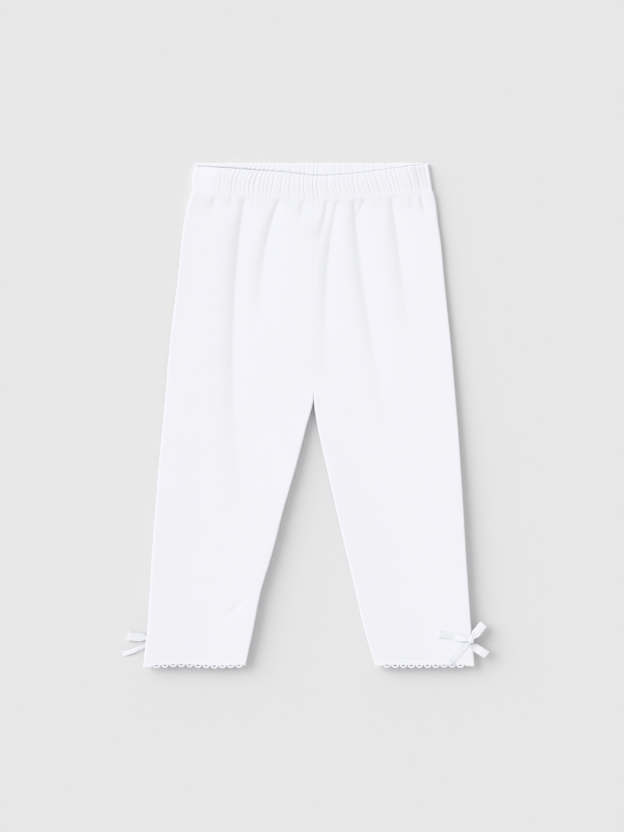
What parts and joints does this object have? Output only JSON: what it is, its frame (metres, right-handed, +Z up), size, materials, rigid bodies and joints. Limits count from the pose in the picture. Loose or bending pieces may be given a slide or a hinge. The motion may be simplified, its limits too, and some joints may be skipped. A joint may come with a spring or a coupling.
{
  "type": "leggings",
  "caption": "Baby leggings laid flat: jersey legs cut without a side seam, a gathered elastic waistband, picot lace hems and small satin bows at the outer hems.",
  "frame": {"origin": "middle of the box round the leggings, on the surface they lie on", "axes": "+Y from the hems to the waist, +X to the wearer's left as seen from above the front, +Z up out of the front"},
  "size_m": [0.2934, 0.404, 0.0103],
  "materials": {
    "jersey": "matte fine cotton jersey, bluish white",
    "waist_jersey": "matte fine cotton jersey, gathered on elastic",
    "lace": "matte cotton picot lace, white",
    "satin": "satin ribbon with a soft gloss, white"
  },
  "bodies": {
    "root": {"leg_left": "jersey", "leg_right": "jersey", "waistband": "waist_jersey", "lace_left": "lace", "lace_right": "lace", "bow_left_knot": "satin", "bow_left_loop_in": "satin", "bow_left_loop_out": "satin", "bow_left_tail_in": "satin", "bow_left_tail_out": "satin", "bow_right_knot": "satin", "bow_right_loop_in": "satin", "bow_right_loop_out": "satin", "bow_right_tail_in": "satin", "bow_right_tail_out": "satin"}
  },
  "joints": []
}
